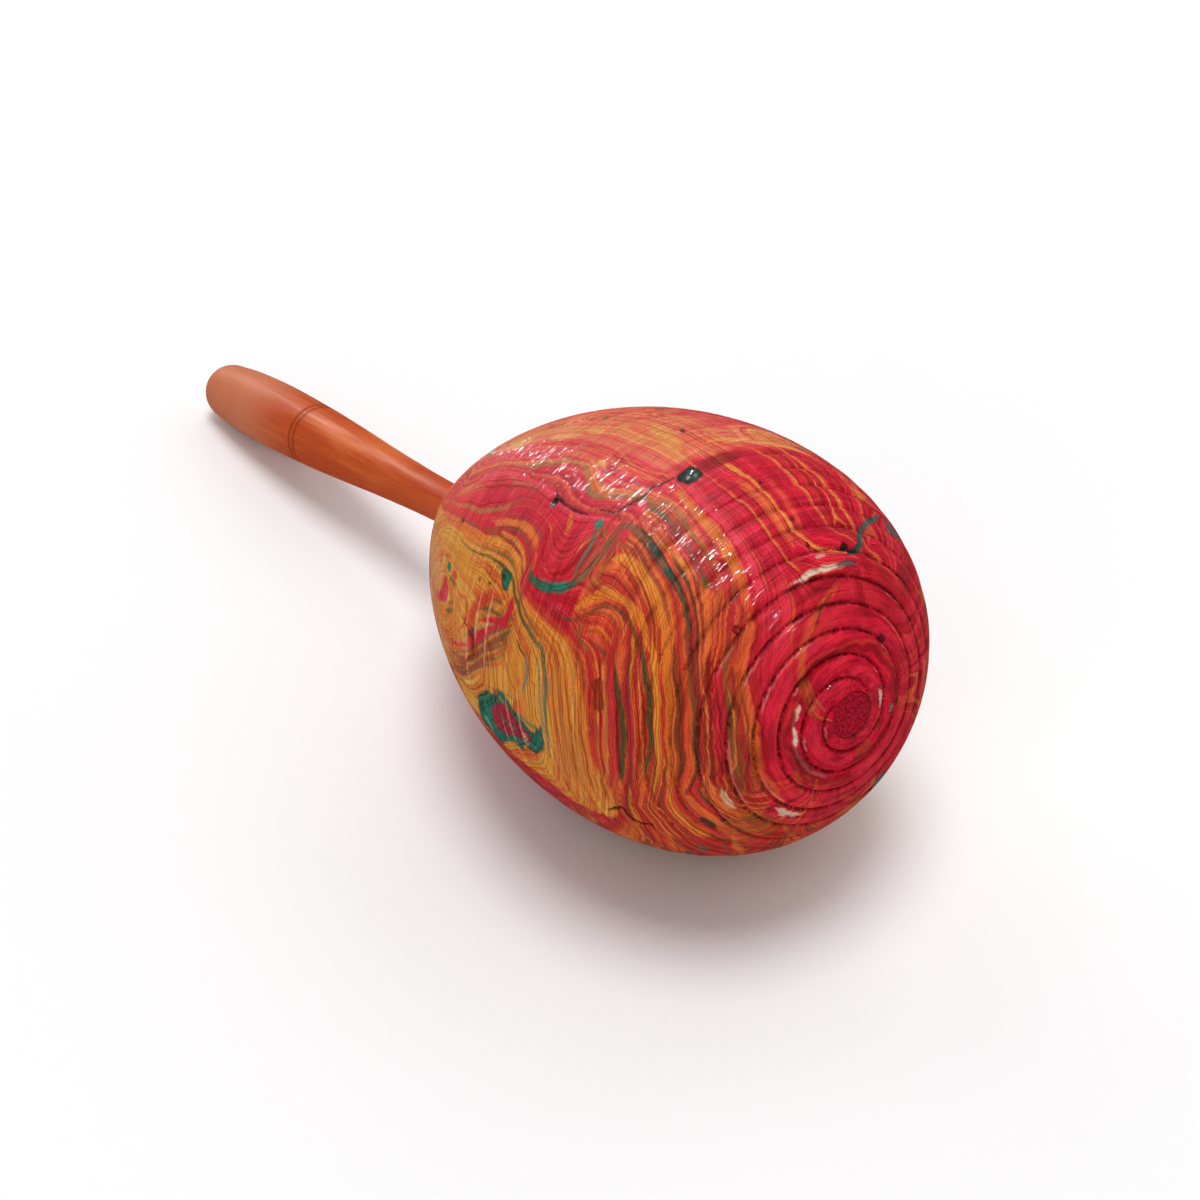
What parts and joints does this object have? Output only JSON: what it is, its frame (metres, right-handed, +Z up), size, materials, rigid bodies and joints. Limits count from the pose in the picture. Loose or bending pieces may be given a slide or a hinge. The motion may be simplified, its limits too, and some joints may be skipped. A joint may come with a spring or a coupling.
{
  "type": "maraca",
  "caption": "Turned wooden maraca: hollow marbled egg-shaped head with ridged nose on a slim tapered handle, loose seeds inside.",
  "frame": {"origin": "on the floor, under the middle of the object's bounding box", "axes": "+X from the butt of the handle to the nose of the head, +Z up, the maraca lying on its belly and on its butt"},
  "size_m": [0.2466, 0.0858, 0.0874],
  "materials": {
    "marbled_wood": "gloss varnish over red, orange and green strata",
    "stained_wood": "satin varnish over orange-red stain",
    "seed": "smooth natural seed coat"
  },
  "bodies": {
    "maraca": {"head_front_shell": "marbled_wood", "head_rear_shell": "marbled_wood", "handle": "stained_wood"},
    "seed_01_body": {"seed_01": "seed"},
    "seed_02_body": {"seed_02": "seed"},
    "seed_03_body": {"seed_03": "seed"},
    "seed_04_body": {"seed_04": "seed"},
    "seed_05_body": {"seed_05": "seed"},
    "seed_06_body": {"seed_06": "seed"},
    "seed_07_body": {"seed_07": "seed"},
    "seed_08_body": {"seed_08": "seed"},
    "seed_09_body": {"seed_09": "seed"},
    "seed_10_body": {"seed_10": "seed"},
    "seed_11_body": {"seed_11": "seed"},
    "seed_12_body": {"seed_12": "seed"},
    "seed_13_body": {"seed_13": "seed"},
    "seed_14_body": {"seed_14": "seed"},
    "seed_15_body": {"seed_15": "seed"},
    "seed_16_body": {"seed_16": "seed"},
    "seed_17_body": {"seed_17": "seed"},
    "seed_18_body": {"seed_18": "seed"},
    "seed_19_body": {"seed_19": "seed"},
    "seed_20_body": {"seed_20": "seed"},
    "seed_21_body": {"seed_21": "seed"},
    "seed_22_body": {"seed_22": "seed"},
    "seed_23_body": {"seed_23": "seed"},
    "seed_24_body": {"seed_24": "seed"},
    "seed_25_body": {"seed_25": "seed"},
    "seed_26_body": {"seed_26": "seed"},
    "seed_27_body": {"seed_27": "seed"},
    "seed_28_body": {"seed_28": "seed"}
  },
  "joints": [
    {"name": "seed_01_shake", "type": "slide", "parent": "maraca", "child": "seed_01_body", "axis": [0, 0, 1], "range_m": [0, 0.0227]},
    {"name": "seed_02_shake", "type": "slide", "parent": "maraca", "child": "seed_02_body", "axis": [0, 0, 1], "range_m": [0, 0.0227]},
    {"name": "seed_03_shake", "type": "slide", "parent": "maraca", "child": "seed_03_body", "axis": [0, 0, 1], "range_m": [0, 0.0222]},
    {"name": "seed_04_shake", "type": "slide", "parent": "maraca", "child": "seed_04_body", "axis": [0, 0, 1], "range_m": [0, 0.0248]},
    {"name": "seed_05_shake", "type": "slide", "parent": "maraca", "child": "seed_05_body", "axis": [0, 0, 1], "range_m": [0, 0.0248]},
    {"name": "seed_06_shake", "type": "slide", "parent": "maraca", "child": "seed_06_body", "axis": [0, 0, 1], "range_m": [0, 0.0631]},
    {"name": "seed_07_shake", "type": "slide", "parent": "maraca", "child": "seed_07_body", "axis": [0, 0, 1], "range_m": [0, 0.0241]},
    {"name": "seed_08_shake", "type": "slide", "parent": "maraca", "child": "seed_08_body", "axis": [0, 0, 1], "range_m": [0, 0.0631]},
    {"name": "seed_09_shake", "type": "slide", "parent": "maraca", "child": "seed_09_body", "axis": [0, 0, 1], "range_m": [0, 0.0265]},
    {"name": "seed_10_shake", "type": "slide", "parent": "maraca", "child": "seed_10_body", "axis": [0, 0, 1], "range_m": [0, 0.0265]},
    {"name": "seed_11_shake", "type": "slide", "parent": "maraca", "child": "seed_11_body", "axis": [0, 0, 1], "range_m": [0, 0.0655]},
    {"name": "seed_12_shake", "type": "slide", "parent": "maraca", "child": "seed_12_body", "axis": [0, 0, 1], "range_m": [0, 0.0256]},
    {"name": "seed_13_shake", "type": "slide", "parent": "maraca", "child": "seed_13_body", "axis": [0, 0, 1], "range_m": [0, 0.0655]},
    {"name": "seed_14_shake", "type": "slide", "parent": "maraca", "child": "seed_14_body", "axis": [0, 0, 1], "range_m": [0, 0.028]},
    {"name": "seed_15_shake", "type": "slide", "parent": "maraca", "child": "seed_15_body", "axis": [0, 0, 1], "range_m": [0, 0.028]},
    {"name": "seed_16_shake", "type": "slide", "parent": "maraca", "child": "seed_16_body", "axis": [0, 0, 1], "range_m": [0, 0.067]},
    {"name": "seed_17_shake", "type": "slide", "parent": "maraca", "child": "seed_17_body", "axis": [0, 0, 1], "range_m": [0, 0.0268]},
    {"name": "seed_18_shake", "type": "slide", "parent": "maraca", "child": "seed_18_body", "axis": [0, 0, 1], "range_m": [0, 0.067]},
    {"name": "seed_19_shake", "type": "slide", "parent": "maraca", "child": "seed_19_body", "axis": [0, 0, 1], "range_m": [0, 0.029]},
    {"name": "seed_20_shake", "type": "slide", "parent": "maraca", "child": "seed_20_body", "axis": [0, 0, 1], "range_m": [0, 0.029]},
    {"name": "seed_21_shake", "type": "slide", "parent": "maraca", "child": "seed_21_body", "axis": [0, 0, 1], "range_m": [0, 0.0676]},
    {"name": "seed_22_shake", "type": "slide", "parent": "maraca", "child": "seed_22_body", "axis": [0, 0, 1], "range_m": [0, 0.0276]},
    {"name": "seed_23_shake", "type": "slide", "parent": "maraca", "child": "seed_23_body", "axis": [0, 0, 1], "range_m": [0, 0.0676]},
    {"name": "seed_24_shake", "type": "slide", "parent": "maraca", "child": "seed_24_body", "axis": [0, 0, 1], "range_m": [0, 0.0295]},
    {"name": "seed_25_shake", "type": "slide", "parent": "maraca", "child": "seed_25_body", "axis": [0, 0, 1], "range_m": [0, 0.0295]},
    {"name": "seed_26_shake", "type": "slide", "parent": "maraca", "child": "seed_26_body", "axis": [0, 0, 1], "range_m": [0, 0.0279]},
    {"name": "seed_27_shake", "type": "slide", "parent": "maraca", "child": "seed_27_body", "axis": [0, 0, 1], "range_m": [0, 0.0296]},
    {"name": "seed_28_shake", "type": "slide", "parent": "maraca", "child": "seed_28_body", "axis": [0, 0, 1], "range_m": [0, 0.0296]}
  ]
}
